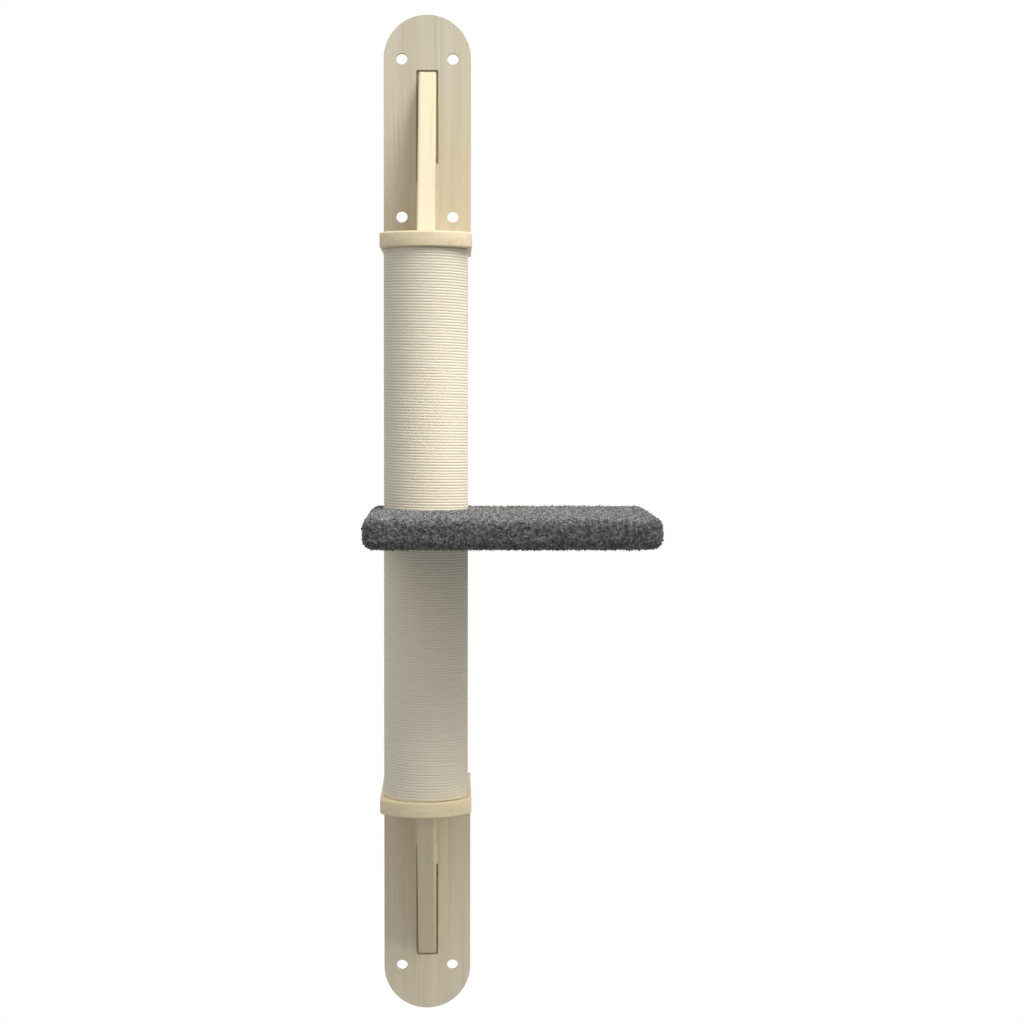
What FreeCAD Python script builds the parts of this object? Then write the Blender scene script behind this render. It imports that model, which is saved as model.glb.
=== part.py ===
import FreeCAD, Part
import Sketcher
import math
import os

from FreeCAD import Placement, Rotation, Vector

# A wall mounted cat tree: two wooden wall brackets hold a cord-wound scratching post, and a plush platform is
# clamped in the middle of the post.
# Frame: the wall is the plane Y = 0 and the object stands out towards -Y, with +X to the right and +Z up.
# The origin is the centre of the upper wall plate's four screw holes, on the wall.
# Each bracket and its half of the post are drawn in a frame whose Z = 0 is the plate's inner end, with the
# bracket above it and the post below. The lower ones are the same pieces turned over about Y.

DRIVING = [
    ("plate_width", 100, "wall plate, across"),
    ("plate_length", 275, "wall plate, inner end to the top of the round end"),
    ("plate_thickness", 9, "wall plate"),
    ("wall_hole_diameter", 13, "holes for the wall screws"),
    ("wall_hole_across", 58.5, "wall holes, spacing across"),
    ("wall_hole_along", 180, "wall holes, spacing along the plate"),
    ("wall_hole_margin", 50, "plate's round end to the first pair of wall holes"),
    ("slot_width", 25.5, "slot for the gusset's tenon"),
    ("slot_depth", 5, "slot, from the plate's front"),
    ("slot_margin", 62.5, "plate's round end to the slot"),
    ("slot_length", 130, "slot, along the plate"),
    ("slot_corner_radius", 2, "slot, in its corners"),
    ("shelf_reach", 168, "post shelf, plate's front to its nose"),
    ("shelf_nose_depth", 27, "post shelf, its nose in front of the ends of its sides"),
    ("shelf_thickness", 17, "post shelf"),
    ("shelf_corner_radius", 8, "post shelf, where side and nose meet"),
    ("shelf_edge_chamfer", 1.5, "post shelf, bevel along its edge"),
    ("gusset_thickness", 20.2, "gusset, across"),
    ("gusset_reach", 130, "gusset's foot, plate's front to its toe"),
    ("gusset_toe", 3.5, "gusset's blunt toe, its height on the shelf"),
    ("gusset_tip_gap", 2.5, "slot's outer end to the gusset's tip"),
    ("gusset_edge_round", 3, "rounding of the gusset's sloping edges"),
    ("wedge_length", 23, "wedge beside the gusset, along the plate"),
    ("wedge_proud", 1, "wedge, in front of the plate"),
    ("post_span", 600, "from shelf to shelf"),
    ("post_axis", 117.6, "plate's front to the post's axis"),
    ("post_diameter", 92.4, "post over its cord"),
    ("core_wall", 3, "post's cardboard tube"),
    ("cord_diameter", 2.6, "cord, drawn thinner than its pitch so that its turns stay apart"),
    ("cord_pitch", 3.08, "from cord to cord along the post"),
    ("cord_strands", 2, "cords that are wound side by side"),
    ("cord_turns", 1, "turns of each cord that are drawn at each end of a winding"),
    ("plug_thickness", 20, "wooden plugs in the ends of the tubes"),
    ("platform_left", 63, "post's axis to the platform's left side"),
    ("platform_right", 245, "post's axis to the platform's right side"),
    ("platform_back", 47.6, "post's axis to the platform's back"),
    ("platform_front", 170.4, "post's axis to the platform's front"),
    ("platform_round", 12, "platform's corners and edges, over the plush"),
    ("board_thickness", 18, "platform's board"),
    ("plush_thickness", 6, "plush over the board"),
    ("plush_pressed", 2, "plush under the end of a post"),
    ("stud_diameter", 8, "threaded stud through the board"),
    ("nut_barrel_diameter", 10.5, "insert nut's barrel"),
    ("nut_barrel_length", 14, "insert nut's barrel"),
    ("nut_flange_diameter", 22, "insert nut's flange"),
    ("nut_flange_thickness", 1.5, "insert nut's flange"),
    ("dowel_diameter", 8, "dowels between plate and shelf"),
    ("dowel_length", 30, "dowels between plate and shelf"),
    ("dowel_in_plate", 6, "dowels, their depth in the plate"),
    ("dowel_across", 76, "dowels, spacing across"),
    ("screw_diameter", 4, "wood screws of the brackets"),
    ("screw_head_diameter", 8, "their countersunk heads"),
    ("screw_length", 45, "wood screws of the brackets"),
    ("shelf_screw_across", 40, "screws from plate to shelf, spacing across"),
    ("back_screw_rise", 20, "slot's inner end to the first screw behind the gusset"),
    ("back_screw_spacing", 40, "screws behind the gusset, spacing along the plate"),
    ("foot_screw_depth", 35, "plate's front to the first screw under the gusset"),
    ("foot_screw_spacing", 45, "screws under the gusset, spacing"),
    ("post_screw_diameter", 5, "screws from shelf to post"),
    ("post_screw_head_diameter", 10, "their countersunk heads"),
    ("post_screw_length", 32, "screws from shelf to post"),
    ("post_screw_across", 54, "screws from shelf to post, spacing across"),
    ("staple_width", 10, "staples of the plush, across"),
    ("staple_wire", 0.7, "staples of the plush, thickness of the wire"),
    ("staple_leg", 12, "staples of the plush, length of their legs"),
    ("staple_margin", 26, "platform's sides to the outer staples"),
    ("staple_count", 8, "staples along the seam"),
    ("soft_clearance", 0.3, "round the plush and the cord"),
    ("fit_clearance", 0.1, "round tenons, wedges, dowels, plugs and screws"),
]

DERIVED = [
    ("half_plate", "=plate_width / 2", "half the width of plate and shelf"),
    ("upper_inner_end", "=wall_hole_margin + wall_hole_along / 2 - plate_length", "height of the upper shelf's face"),
    ("lower_inner_end", "=upper_inner_end - post_span", "height of the lower shelf's face"),
    ("platform_height", "=upper_inner_end - post_span / 2", "height of the platform's middle"),
    ("hole_row_outer", "=plate_length - wall_hole_margin", "outer pair of wall holes"),
    ("hole_row_inner", "=hole_row_outer - wall_hole_along", "inner pair of wall holes"),
    ("slot_outer", "=plate_length - slot_margin", "slot's outer end"),
    ("slot_inner", "=slot_outer - slot_length", "slot's inner end"),
    ("slot_floor", "=plate_thickness - slot_depth", "from the wall to the slot's floor"),
    ("gusset_tip", "=slot_outer - gusset_tip_gap", "height of the gusset's tip"),
    ("tenon_back", "=slot_floor + fit_clearance", "from the wall to the tenon's back"),
    ("shelf_nose", "=plate_thickness + shelf_reach", "from the wall to the shelf's nose"),
    ("shelf_nose_radius", "=(half_plate ^ 2 + shelf_nose_depth ^ 2) / (2 * shelf_nose_depth)", "shelf's nose, arc"),
    ("post_depth", "=plate_thickness + post_axis", "from the wall to the post's axis"),
    ("shelf_middle", "=shelf_thickness / 2", "height of the dowels in the shelf"),
    ("back_screw_low", "=slot_inner + back_screw_rise", "first screw behind the gusset"),
    ("back_screw_high", "=back_screw_low + back_screw_spacing", "second screw behind the gusset"),
    ("foot_screw_near", "=plate_thickness + foot_screw_depth", "first screw under the gusset"),
    ("foot_screw_far", "=foot_screw_near + foot_screw_spacing", "second screw under the gusset"),
    ("half_board", "=board_thickness / 2", "half the board's thickness"),
    ("half_platform", "=half_board + plush_thickness", "half the platform's thickness"),
    ("pressed_face", "=half_board + soft_clearance + plush_pressed", "platform's middle to the pressed plush"),
    ("post_end", "=pressed_face + soft_clearance", "platform's middle to the end of a post"),
    ("post_length", "=post_span / 2 - post_end", "one post, shelf to platform"),
    ("core_radius", "=post_diameter / 2 - cord_diameter - soft_clearance", "outside of the cardboard tube"),
    ("plug_radius", "=core_radius - core_wall - fit_clearance", "plugs in the tube"),
    ("nut_face", "=post_length - plug_thickness", "shelf to the face that carries the insert nut"),
    ("stud_half", "=post_end + plug_thickness", "platform's middle to the end of the stud"),
    ("staple_row", "=(platform_back - platform_front) / 2", "seam along the middle of the underside"),
]

doc = FreeCAD.newDocument("wall_cat_tree")
sheet = doc.addObject("Spreadsheet::Sheet", "sizes")
for row, (alias, content, meaning) in enumerate(DRIVING + DERIVED, start=1):
    sheet.set(f"A{row}", alias)
    sheet.set(f"B{row}", str(content))
    sheet.setAlias(f"B{row}", alias)
    sheet.set(f"C{row}", meaning)
doc.recompute()


def size(alias):
    """The value of one cell of the sheet, in millimetres."""
    return float(sheet.get(alias))


def value(expression):
    """The value of an expression on the sheet, in millimetres."""
    return float(sheet.evalExpression(expression))


def bind(thing, **expressions):
    """Ties properties to expressions, with __ for the dot of a nested property."""
    for name, expression in expressions.items():
        thing.setExpression(name.replace("__", "."), expression)


# ---------------------------------------------------------------- sketches and features

AXIS_X, AXIS_Y = range(-1, -3, -1)
START, END, CENTRE = range(1, 4)
TOLERANCE = 1e-4
SMALLEST_POCKET = 1


def sketch_on(body, plane, name, offset=None):
    """A sketch on one of the body's origin planes, or at an offset along that plane's normal."""
    sketch = body.newObject("Sketcher::SketchObject", name)
    origin_plane = next(f for f in body.Origin.OriginFeatures if f.Role == plane)
    sketch.AttachmentSupport = (origin_plane, [""])
    sketch.MapMode = "FlatFace"
    if offset:
        bind(sketch, AttachmentOffset__Base__z=offset)
    return sketch


def fix(sketch, item, point, x=None, y=None):
    """Holds a point at expressions for its distances from the sketch's origin; "0" holds it on that axis."""
    for kind, axis, expression in (("DistanceX", AXIS_Y, x), ("DistanceY", AXIS_X, y)):
        if expression is None:
            continue
        if expression == "0":
            sketch.addConstraint(Sketcher.Constraint("PointOnObject", item, point, axis))
            continue
        distance = value(expression)
        ends = (AXIS_X, START, item, point) if distance > 0 else (item, point, AXIS_X, START)
        sign = "" if distance > 0 else "-"
        index = sketch.addConstraint(Sketcher.Constraint(kind, *ends, abs(distance)))
        sketch.setExpression(f"Constraints[{index}]", f"{sign}({expression})")


def join(sketch, item, point, other, other_point):
    sketch.addConstraint(Sketcher.Constraint("Coincident", item, point, other, other_point))


def polygon(sketch, corners):
    """A closed outline of straight lines through corners, each a pair of expressions."""
    points = [Vector(value(x), value(y), 0) for x, y in corners]
    count = len(corners)
    for i in range(count):
        sketch.addGeometry(Part.LineSegment(points[i], points[(i + 1) % count]))
    for i in range(count):
        join(sketch, i, END, (i + 1) % count, START)
        fix(sketch, i, START, *corners[i])


def round_nosed(sketch, back, side_end, centre):
    """An outline as wide as the plate, with a straight back, two sides and an arc about centre as its nose."""
    half, back_y, end_y, centre_y = (value(e) for e in ("sizes.half_plate", back, side_end, centre))
    lean = math.atan2(end_y - centre_y, half)
    rises = end_y > back_y
    sweep = (lean, math.pi - lean) if rises else (math.pi - lean, 2 * math.pi + lean)
    circle = Part.Circle(Vector(0, centre_y, 0), Vector(0, 0, 1), math.hypot(half, end_y - centre_y))
    base = sketch.addGeometry(Part.LineSegment(Vector(-half, back_y, 0), Vector(half, back_y, 0)))
    right = sketch.addGeometry(Part.LineSegment(Vector(half, back_y, 0), Vector(half, end_y, 0)))
    left = sketch.addGeometry(Part.LineSegment(Vector(-half, end_y, 0), Vector(-half, back_y, 0)))
    nose = sketch.addGeometry(Part.ArcOfCircle(circle, *sweep))
    join(sketch, base, END, right, START)
    join(sketch, left, END, base, START)
    join(sketch, right, END, nose, START if rises else END)
    join(sketch, left, START, nose, END if rises else START)
    fix(sketch, base, START, "-sizes.half_plate", back)
    fix(sketch, right, START, "sizes.half_plate", back)
    fix(sketch, right, END, "sizes.half_plate", side_end)
    fix(sketch, left, START, "-sizes.half_plate", side_end)
    fix(sketch, nose, CENTRE, None, centre)


def circles(sketch, centres, diameter):
    """Circles of one diameter at centres, each a pair of expressions."""
    for x, y in centres:
        item = sketch.addGeometry(Part.Circle(Vector(value(x), value(y), 0), Vector(0, 0, 1), value(diameter) / 2))
        fix(sketch, item, CENTRE, x, y)
        index = sketch.addConstraint(Sketcher.Constraint("Diameter", item, value(diameter)))
        sketch.setExpression(f"Constraints[{index}]", diameter)


def pad(body, sketch, length, middle=False):
    """A pad of the sketch, along its normal or half to each side."""
    feature = body.newObject("PartDesign::Pad", sketch.Name + "_pad")
    feature.Profile = sketch
    feature.Midplane = middle
    bind(feature, Length=length)
    doc.recompute()
    return feature


def pocket(body, sketch, depth, along_normal=False):
    """A pocket of the sketch, and a check that it took away some cubic millimetres."""
    before = body.Shape.Volume
    feature = body.newObject("PartDesign::Pocket", sketch.Name + "_pocket")
    feature.Profile = sketch
    feature.Reversed = along_normal
    bind(feature, Length=depth)
    doc.recompute()
    if before - body.Shape.Volume < SMALLEST_POCKET:
        raise RuntimeError(f"{sketch.Name} removes nothing")
    return feature


def edges_of(shape, wanted):
    """Names of the edges that meet a test of their middle point and themselves."""
    names = []
    for number, edge in enumerate(shape.Edges, start=1):
        middle = edge.valueAt((edge.FirstParameter + edge.LastParameter) / 2)
        if wanted(middle, edge):
            names.append(f"Edge{number}")
    return names


def fillet(body, base, names, radius):
    """A fillet along named edges of the body's last feature."""
    feature = body.newObject("PartDesign::Fillet", base.Name + "_fillet")
    feature.Base = (base, names)
    bind(feature, Radius=radius)
    doc.recompute()
    return feature


def near(a, b):
    return abs(a - b) < TOLERANCE


def less(a, b):
    return a < b and not near(a, b)


def vertical(edge):
    """True for an edge along Z."""
    ends = [v.Point for v in edge.Vertexes]
    return len(ends) == 2 and near(ends[0].x, ends[1].x) and near(ends[0].y, ends[1].y)


# ---------------------------------------------------------------- places

SIDES = ("upper", "lower")


def seat(thing, side):
    """Puts a piece drawn in the bracket's frame on its side: upper as drawn, lower turned over about Y."""
    turn = Rotation(Vector(0, 1, 0), 0 if side == "upper" else 180)
    thing.Placement = Placement(Vector(0, 0, size(f"{side}_inner_end")), turn)
    bind(thing, Placement__Base__z=f"sizes.{side}_inner_end")
    return thing


def seat_on_platform(thing):
    """Puts a piece drawn about the post's axis and the platform's middle in its place."""
    thing.Placement = Placement(Vector(0, -size("post_depth"), size("platform_height")), Rotation())
    bind(thing, Placement__Base__y="-sizes.post_depth", Placement__Base__z="sizes.platform_height")
    return thing


# ---------------------------------------------------------------- small round parts

SMALL_SIDES = 6
STUD_SIDES = 12
SCREW_POINT = 0.25


def faceted(profile, sides=SMALL_SIDES):
    """A small turned part about Z, with flat sides instead of round ones, through rings (radius, height)."""
    angles = [2 * math.pi * i / sides for i in range(sides)]
    rings = [[Vector(r * math.cos(a), r * math.sin(a), z) for a in angles] for r, z in profile]
    faces = [Part.Face(Part.makePolygon(ring + ring[:1])) for ring in (rings[0], rings[-1])]
    for low, high in zip(rings, rings[1:]):
        for i in range(sides):
            j = (i + 1) % sides
            faces.append(Part.Face(Part.makePolygon([low[i], low[j], high[j], high[i], low[i]])))
    solid = Part.Solid(Part.Shell(faces))
    if solid.Volume < 0:
        solid.reverse()
    return solid


def screw(kind, room=0):
    """A countersunk screw along +Z, its head's flat face at Z = 0, or the flat-ended room round it."""
    radius = (size(f"{kind}_diameter") + room) / 2
    head = (size(f"{kind}_head_diameter") + room) / 2
    end = size(f"{kind}_length") + room
    sunk_head = [(head, 0), (radius, head - radius)]
    if room:
        return faceted(sunk_head + [(radius, end)])
    return faceted(sunk_head + [(radius, end - radius), (radius * SCREW_POINT, end)])


def dowel(room=0):
    """A dowel along +Z, or the room round it."""
    radius = (size("dowel_diameter") + room) / 2
    return faceted([(radius, -room / 2), (radius, size("dowel_length") + room / 2)])


def at_places(shape, places, direction):
    """Copies of a shape drawn along +Z, laid along direction at each place."""
    turn = Rotation(Vector(0, 0, 1), Vector(*direction))
    copies = []
    for place in places:
        copy = shape.copy()
        copy.Placement = Placement(Vector(*place), turn)
        copies.append(copy)
    return copies


def group(label, pieces):
    """Separate solids in one node."""
    feature = doc.addObject("Part::Feature", label)
    feature.Label = label
    feature.Shape = Part.makeCompound(pieces)
    return feature


def bracket_fasteners(room=0):
    """The screws and dowels of a bracket by name, in the bracket's frame, or the room round each."""
    middle, top = size("shelf_middle"), size("shelf_thickness")
    post_depth = size("post_depth")
    shelf_spots, post_spots, dowel_spots = (
        (-size(name) / 2, size(name) / 2) for name in ("shelf_screw_across", "post_screw_across", "dowel_across")
    )
    rises = (size("back_screw_low"), size("back_screw_high"))
    depths = (size("foot_screw_near"), size("foot_screw_far"))
    dowel_start = size("dowel_in_plate") - size("plate_thickness")
    wood_screw, post_screw = screw("screw", room), screw("post_screw", room)
    out, up, down = (0, -1, 0), (0, 0, 1), (0, 0, -1)
    return {
        "shelf_screws": at_places(wood_screw, [(x, 0, middle) for x in shelf_spots], out),
        "gusset_back_screws": at_places(wood_screw, [(0, 0, z) for z in rises], out),
        "gusset_foot_screws": at_places(wood_screw, [(0, -y, 0) for y in depths], up),
        "post_screws": at_places(post_screw, [(x, -post_depth, top) for x in post_spots], down),
        "shelf_dowels": at_places(dowel(room), [(x, dowel_start, middle) for x in dowel_spots], out),
    }


def drilled(label, blank, *names):
    """A wooden piece with room for the fasteners that go through it, as a cut of the blank."""
    rooms = bracket_fasteners(size("fit_clearance"))
    piece = doc.addObject("Part::Cut", label)
    piece.Label = label
    piece.Base = blank
    piece.Tool = group(f"{label}_holes", [room for name in names for room in rooms[name]])
    return piece


# ---------------------------------------------------------------- brackets


def wall_plate(side):
    """The plate on the wall: one round end, four wall holes, and a blind slot for the gusset's tenon."""
    body = doc.addObject("PartDesign::Body", f"{side}_plate_blank")
    outline = sketch_on(body, "XZ_Plane", f"{side}_plate_outline")
    shoulder = "sizes.plate_length - sizes.half_plate"
    round_nosed(outline, "0", shoulder, shoulder)
    pad(body, outline, "sizes.plate_thickness")

    holes = sketch_on(body, "XZ_Plane", f"{side}_wall_holes")
    half_across = "sizes.wall_hole_across / 2"
    rows = ("sizes.hole_row_outer", "sizes.hole_row_inner")
    circles(holes, [(sign + half_across, row) for row in rows for sign in ("-", "")], "sizes.wall_hole_diameter")
    pocket(body, holes, "sizes.plate_thickness", along_normal=True)

    slot = sketch_on(body, "XZ_Plane", f"{side}_slot", "sizes.plate_thickness")
    half_slot = "sizes.slot_width / 2"
    low, high = "sizes.slot_inner", "sizes.slot_outer"
    polygon(slot, [("-" + half_slot, low), (half_slot, low), (half_slot, high), ("-" + half_slot, high)])
    cut = pocket(body, slot, "sizes.slot_depth")
    slot_x, slot_z = value(half_slot), [value(low), value(high)]
    corners = edges_of(cut.Shape, lambda p, edge: near(abs(p.x), slot_x) and any(near(p.z, z) for z in slot_z))
    fillet(body, cut, corners, "sizes.slot_corner_radius")
    names = ("shelf_screws", "gusset_back_screws", "shelf_dowels")
    return seat(drilled(f"{side}_wall_plate", body, *names), side)


def post_shelf(side):
    """The shelf that carries the post, flush with the plate's inner end."""
    body = doc.addObject("PartDesign::Body", f"{side}_shelf_blank")
    outline = sketch_on(body, "XY_Plane", f"{side}_shelf_outline")
    side_end = "-(sizes.shelf_nose - sizes.shelf_nose_depth)"
    centre = "-(sizes.shelf_nose - sizes.shelf_nose_radius)"
    round_nosed(outline, "-sizes.plate_thickness", side_end, centre)
    board = pad(body, outline, "sizes.shelf_thickness")
    side_y = value(side_end)
    corners = edges_of(board.Shape, lambda p, edge: vertical(edge) and near(p.y, side_y))
    rounded = fillet(body, board, corners, "sizes.shelf_corner_radius")
    back, top = -size("plate_thickness"), size("shelf_thickness")
    rim = edges_of(rounded.Shape, lambda p, edge: less(p.y, back) and (near(p.z, 0) or near(p.z, top)))
    bevel = body.newObject("PartDesign::Chamfer", f"{side}_shelf_bevel")
    bevel.Base = (rounded, rim)
    bind(bevel, Size="sizes.shelf_edge_chamfer")
    names = ("shelf_screws", "gusset_foot_screws", "post_screws", "shelf_dowels")
    return seat(drilled(f"{side}_post_shelf", body, *names), side)


def gusset(side):
    """The sloping brace that stands on the shelf, with a tenon in the plate's slot."""
    body = doc.addObject("PartDesign::Body", f"{side}_gusset_blank")
    profile = sketch_on(body, "YZ_Plane", f"{side}_gusset_profile")
    front, tenon = "-sizes.plate_thickness", "-sizes.tenon_back"
    tenon_end = "sizes.slot_inner + sizes.fit_clearance"
    polygon(profile, [
        (front, "sizes.shelf_thickness"),
        (f"{front} - sizes.gusset_reach", "sizes.shelf_thickness"),
        (f"{front} - sizes.gusset_reach", "sizes.shelf_thickness + sizes.gusset_toe"),
        (front, "sizes.gusset_tip"),
        (tenon, "sizes.gusset_tip"),
        (tenon, tenon_end),
        (front, tenon_end),
    ])
    web = pad(body, profile, "sizes.gusset_thickness", middle=True)
    plate_front, toe, foot = value(front), value(f"{front} - sizes.gusset_reach"), size("shelf_thickness")
    slopes = edges_of(
        web.Shape,
        lambda p, edge: less(toe, p.y) and less(p.y, plate_front) and less(foot, p.z) and not near(p.x, 0),
    )
    fillet(body, web, slopes, "sizes.gusset_edge_round")
    return seat(drilled(f"{side}_gusset", body, "gusset_back_screws", "gusset_foot_screws"), side)


def gusset_wedge(side):
    """The key in the slot's inner end, on the gusset's right as seen from the front."""
    body = doc.addObject("PartDesign::Body", f"{side}_gusset_wedge")
    right = "" if side == "upper" else "-"
    near_x = f"{right}(sizes.gusset_thickness / 2 + sizes.fit_clearance)"
    far_x = f"{right}(sizes.slot_width / 2 - sizes.fit_clearance)"
    low = "sizes.slot_inner + sizes.fit_clearance"
    high = f"{low} + sizes.wedge_length"
    outline = sketch_on(body, "XZ_Plane", f"{side}_wedge_outline", "sizes.slot_floor + sizes.fit_clearance")
    polygon(outline, [(near_x, low), (far_x, low), (far_x, high), (near_x, high)])
    key = pad(body, outline, "sizes.slot_depth - sizes.fit_clearance + sizes.wedge_proud")
    corner_x, corner_z = value(far_x), value(low)
    corner = edges_of(key.Shape, lambda p, edge: near(p.x, corner_x) and near(p.z, corner_z))
    fillet(body, key, corner, "sizes.slot_corner_radius")
    return seat(body, side)


# ---------------------------------------------------------------- posts


def tube(label, outer, inner, length, base):
    """A tube about the post's axis, as a cut of two cylinders bound to expressions."""
    solids = []
    for name, radius in (("outer", outer), ("inner", inner)):
        cylinder = doc.addObject("Part::Cylinder", f"{label}_{name}")
        bind(cylinder, Radius=radius, Height=length, Placement__Base__y="-sizes.post_depth", Placement__Base__z=base)
        solids.append(cylinder)
    cut = doc.addObject("Part::Cut", label)
    cut.Label = label
    cut.Base, cut.Tool = solids
    return cut


def post_core(side):
    """The cardboard tube of one post."""
    inner = "sizes.core_radius - sizes.core_wall"
    core = tube(f"{side}_post_core", "sizes.core_radius", inner, "sizes.post_length", "-sizes.post_length")
    return seat(core, side)


def plug(side, end, base, holes):
    """A wooden plug in one end of the tube, as a cut of a cylinder."""
    disc = doc.addObject("Part::Cylinder", f"{side}_{end}_plug_disc")
    bind(disc, Radius="sizes.plug_radius", Height="sizes.plug_thickness",
         Placement__Base__y="-sizes.post_depth", Placement__Base__z=base)
    piece = doc.addObject("Part::Cut", f"{side}_{end}_plug")
    piece.Label = f"{side}_{end}_plug"
    piece.Base = disc
    piece.Tool = group(f"{side}_{end}_plug_holes", holes)
    return seat(piece, side)


def shelf_plug(side):
    """The plug at the shelf, with holes for the post screws."""
    holes = bracket_fasteners(size("fit_clearance"))["post_screws"]
    return plug(side, "shelf", "-sizes.plug_thickness", holes)


def nut_outline(room=0):
    """The insert nut without its bore, its flange's seat at Z = 0, or the room round its barrel."""
    barrel = (size("nut_barrel_diameter") + room) / 2
    length = size("nut_barrel_length") + room
    if room:
        return faceted([(barrel, -length), (barrel, 0)])
    flange, top = size("nut_flange_diameter") / 2, size("nut_flange_thickness")
    return faceted([(barrel, -length), (barrel, 0)]).fuse(faceted([(flange, 0), (flange, top)])).removeSplitter()


def stud_outline(low, high, room=0):
    """The stud about Z between two heights, or the room round it."""
    radius = (size("stud_diameter") + room) / 2
    return faceted([(radius, low), (radius, high)], STUD_SIDES)


def platform_plug(side):
    """The plug at the platform, bored for the insert nut and the stud."""
    room = size("fit_clearance")
    bore = nut_outline(room).fuse(stud_outline(-size("plug_thickness"), 0, room))
    place = (0, -size("post_depth"), -size("nut_face"))
    return plug(side, "platform", "-sizes.post_length", at_places(bore, [place], (0, 0, 1)))


def insert_nut(side):
    """The flanged nut in the platform's plug, its flange on the plug's inner face."""
    bore = stud_outline(-size("nut_barrel_length"), size("nut_flange_thickness"), size("fit_clearance"))
    nut = nut_outline().cut(bore)
    place = (0, -size("post_depth"), -size("nut_face"))
    return seat(group(f"{side}_insert_nut", at_places(nut, [place], (0, 0, 1))), side)


def arc_from(start, corner, end):
    """The arc from start to end that leaves start towards corner."""
    chord = end - start
    weight = chord.dot(corner - start) / (chord.Length * (corner - start).Length)
    middle = (start + end + corner * (2 * weight)) * (1 / (2 + 2 * weight))
    return Part.Arc(start, middle, end).toShape()


def biarc(start, start_way, end, end_way):
    """Two arcs that meet smoothly, from start to end, along unit directions at both."""
    across = end - start
    ways = start_way + end_way
    bend = 2 * (1 - start_way.dot(end_way))
    along = across.dot(ways)
    reach = (math.sqrt(along ** 2 + bend * across.dot(across)) - along) / bend
    first_corner = start + start_way * reach
    second_corner = end - end_way * reach
    middle = (first_corner + second_corner) * 0.5
    return [arc_from(start, first_corner, middle), arc_from(middle, second_corner, end)]


def cord_path(radius, lead, turns, first_angle):
    """A left-handed helix down from Z = 0 about Z, in half-turn biarcs with straight ends."""
    def place(angle):
        drop = -lead * (angle - first_angle) / (2 * math.pi)
        return Vector(radius * math.cos(angle), radius * math.sin(angle), drop)

    def way(angle):
        direction = Vector(-radius * math.sin(angle), radius * math.cos(angle), -lead / (2 * math.pi))
        return direction.normalize()

    angles = [first_angle + i * math.pi for i in range(2 * turns + 1)]
    first, last, straight = angles[0], angles[-1], size("cord_diameter")
    edges = [Part.LineSegment(place(first) - way(first) * straight, place(first)).toShape()]
    for a, b in zip(angles, angles[1:]):
        edges += biarc(place(a), way(a), place(b), way(b))
    edges.append(Part.LineSegment(place(last), place(last) + way(last) * straight).toShape())
    return Part.Wire(edges)


CORD_FACES = 4
GAP_STEP = 1


def cord(path):
    """One unbroken cord along a path, with four flat sides."""
    start = path.Edges[0].Vertexes[0].Point
    way = (path.Edges[0].Vertexes[1].Point - start).normalize()
    turn = Rotation(Vector(0, 0, 1), way)
    radius = size("cord_diameter") / 2
    corners = []
    for i in range(CORD_FACES + 1):
        angle = 2 * math.pi * i / CORD_FACES
        corners.append(start + turn.multVec(Vector(radius * math.cos(angle), radius * math.sin(angle), 0)))
    pipe = Part.BRepOffsetAPI.MakePipeShell(path)
    pipe.add(Part.makePolygon(corners))
    pipe.build()
    pipe.makeSolid()
    return pipe.shape()


def least_gap(paths):
    """The least gap between cords: between two strands, and between a strand and its own next turn."""
    lines = [path.discretize(Distance=GAP_STEP) for path in paths]
    skip = int(size("post_diameter") / GAP_STEP)
    gaps = []
    for i, line in enumerate(lines):
        for j, other in enumerate(lines[i:], start=i):
            for k, point in enumerate(line):
                rest = other[k + skip:] if i == j else other
                gaps += [point.distanceToPoint(q) for q in rest]
    return min(gaps) - size("cord_diameter")


def cord_winding(side):
    """The cords of one post: real turns at both ends, and a closed sleeve for the turns between them.

    Cords wound side by side start at even angles, so each one's lead is their number times the pitch.
    """
    strands, turns = int(size("cord_strands")), int(size("cord_turns"))
    lead = strands * size("cord_pitch")
    first_row = size("soft_clearance") + size("cord_diameter") / 2
    path_radius = size("post_diameter") / 2 - size("cord_diameter") / 2
    paths = [cord_path(path_radius, lead, turns, 2 * math.pi * i / strands) for i in range(strands)]
    print(f"{side} cord: least gap {least_gap(paths):.2f} mm, winding radius {path_radius:.1f} mm")
    axis = -size("post_depth")
    cords = Part.makeCompound([cord(path) for path in paths])
    top = at_places(cords, [(0, axis, -first_row)], (0, 0, 1))[0].Solids
    bottom = at_places(cords, [(0, axis, first_row - size("post_length"))], (0, 0, -1))[0].Solids
    block = first_row + lead * turns + size("cord_pitch") - size("cord_diameter") / 2
    inner = size("core_radius") + size("soft_clearance")
    outer = size("post_diameter") / 2
    sleeve_length = size("post_length") - 2 * block
    base = Vector(0, axis, block - size("post_length"))
    sleeve = Part.makeCylinder(outer, sleeve_length, base).cut(Part.makeCylinder(inner, sleeve_length, base))
    return seat(group(f"{side}_cord_winding", [sleeve] + top + bottom), side)


# ---------------------------------------------------------------- platform


def slab(name, grown, half_height):
    """A block about the post's axis, the platform's outline grown by an expression."""
    body = doc.addObject("PartDesign::Body", name)
    outline = sketch_on(body, "XY_Plane", f"{name}_outline")
    left, right = f"-(sizes.platform_left + {grown})", f"sizes.platform_right + {grown}"
    front, back = f"-(sizes.platform_front + {grown})", f"sizes.platform_back + {grown}"
    polygon(outline, [(left, front), (right, front), (right, back), (left, back)])
    return body, pad(body, outline, f"2 * ({half_height})", middle=True)


def cylinder_on_axis(name, radius, low, height):
    """A cylinder about Z, bound to expressions."""
    cylinder = doc.addObject("Part::Cylinder", name)
    bind(cylinder, Radius=radius, Height=height, Placement__Base__z=low)
    return cylinder


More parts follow.
